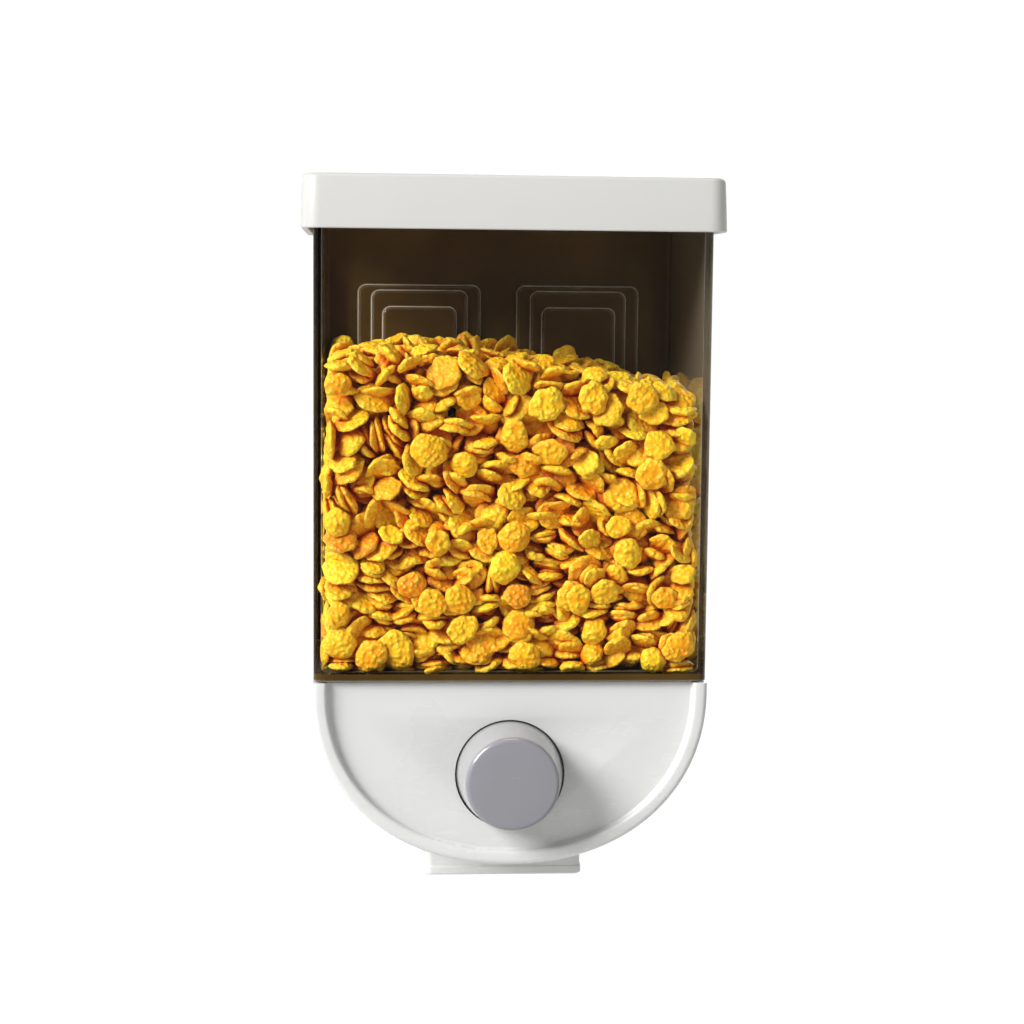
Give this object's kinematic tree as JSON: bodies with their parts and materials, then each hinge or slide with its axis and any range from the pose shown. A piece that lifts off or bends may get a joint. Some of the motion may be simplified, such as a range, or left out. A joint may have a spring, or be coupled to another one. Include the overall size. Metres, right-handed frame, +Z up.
{
  "type": "wall-mounted cereal dispenser",
  "caption": "Wall-mounted push-button cereal dispenser: clear tank with a lift-off lid on a U-shaped base with a spring-return button, a hinged gate and an outlet.",
  "frame": {"origin": "on the wall, midway between the two adhesive hook pads", "axes": "+Z up, +Y into the wall, -Y out towards the user, +X to the right as the user faces the wall"},
  "size_m": [0.1296, 0.102, 0.2237],
  "materials": {
    "clear_tank": "clear moulded styrene, glossy, slightly smoky",
    "white_shell": "white moulded ABS, semi-gloss",
    "grey_button": "cool grey moulded ABS, satin",
    "inner_plastic": "natural white acetal and polypropylene, satin",
    "silicone": "translucent off-white silicone, soft",
    "steel": "bright zinc-plated steel",
    "hook_plastic": "clear moulded plastic",
    "adhesive_foam": "grey double-sided foam tape"
  },
  "bodies": {
    "wall_mount": {"wall_hook_left": "hook_plastic", "wall_hook_right": "hook_plastic", "hook_pad_left": "adhesive_foam", "hook_pad_right": "adhesive_foam"},
    "dispenser": {"container": "clear_tank", "hopper": "inner_plastic", "base_housing": "white_shell", "front_cover": "white_shell", "outlet_spout": "white_shell", "gate_pin": "steel", "pin_clip": "steel", "gate_spring": "steel", "button_spring": "steel", "container_screw_1": "steel", "container_screw_2": "steel", "container_screw_3": "steel", "container_screw_4": "steel", "cover_screw_1": "steel", "cover_screw_2": "steel", "cover_screw_3": "steel", "cover_screw_4": "steel"},
    "lid": {"lid": "white_shell", "lid_gasket": "silicone"},
    "button": {"button_cap": "grey_button", "button_plunger": "inner_plastic"},
    "gate": {"gate_flap": "inner_plastic", "gate_pad": "silicone"}
  },
  "joints": [
    {"name": "lift_off", "type": "slide", "parent": "wall_mount", "child": "dispenser", "axis": [0, 0, 1], "range_m": [0, 0.008]},
    {"name": "lid_lift", "type": "slide", "parent": "dispenser", "child": "lid", "axis": [0, 0, 1], "range_m": [0, 0.03]},
    {"name": "button_press", "type": "slide", "parent": "dispenser", "child": "button", "axis": [0, 1, 0], "range_m": [0, 0.0065], "stiffness_N_per_m": 300, "springref_m": -0.01, "deforming": ["button_spring"]},
    {"name": "gate_swing", "type": "hinge", "parent": "dispenser", "child": "gate", "pos_m": [0, -0.0505, -0.1439], "axis": [-1, 0, 0], "range_deg": [0, 34.5], "deforming": ["gate_spring"]}
  ],
  "couplings": [
    {"joint": "gate_swing", "follows": "button_press", "rad_per_m": 92.37}
  ]
}
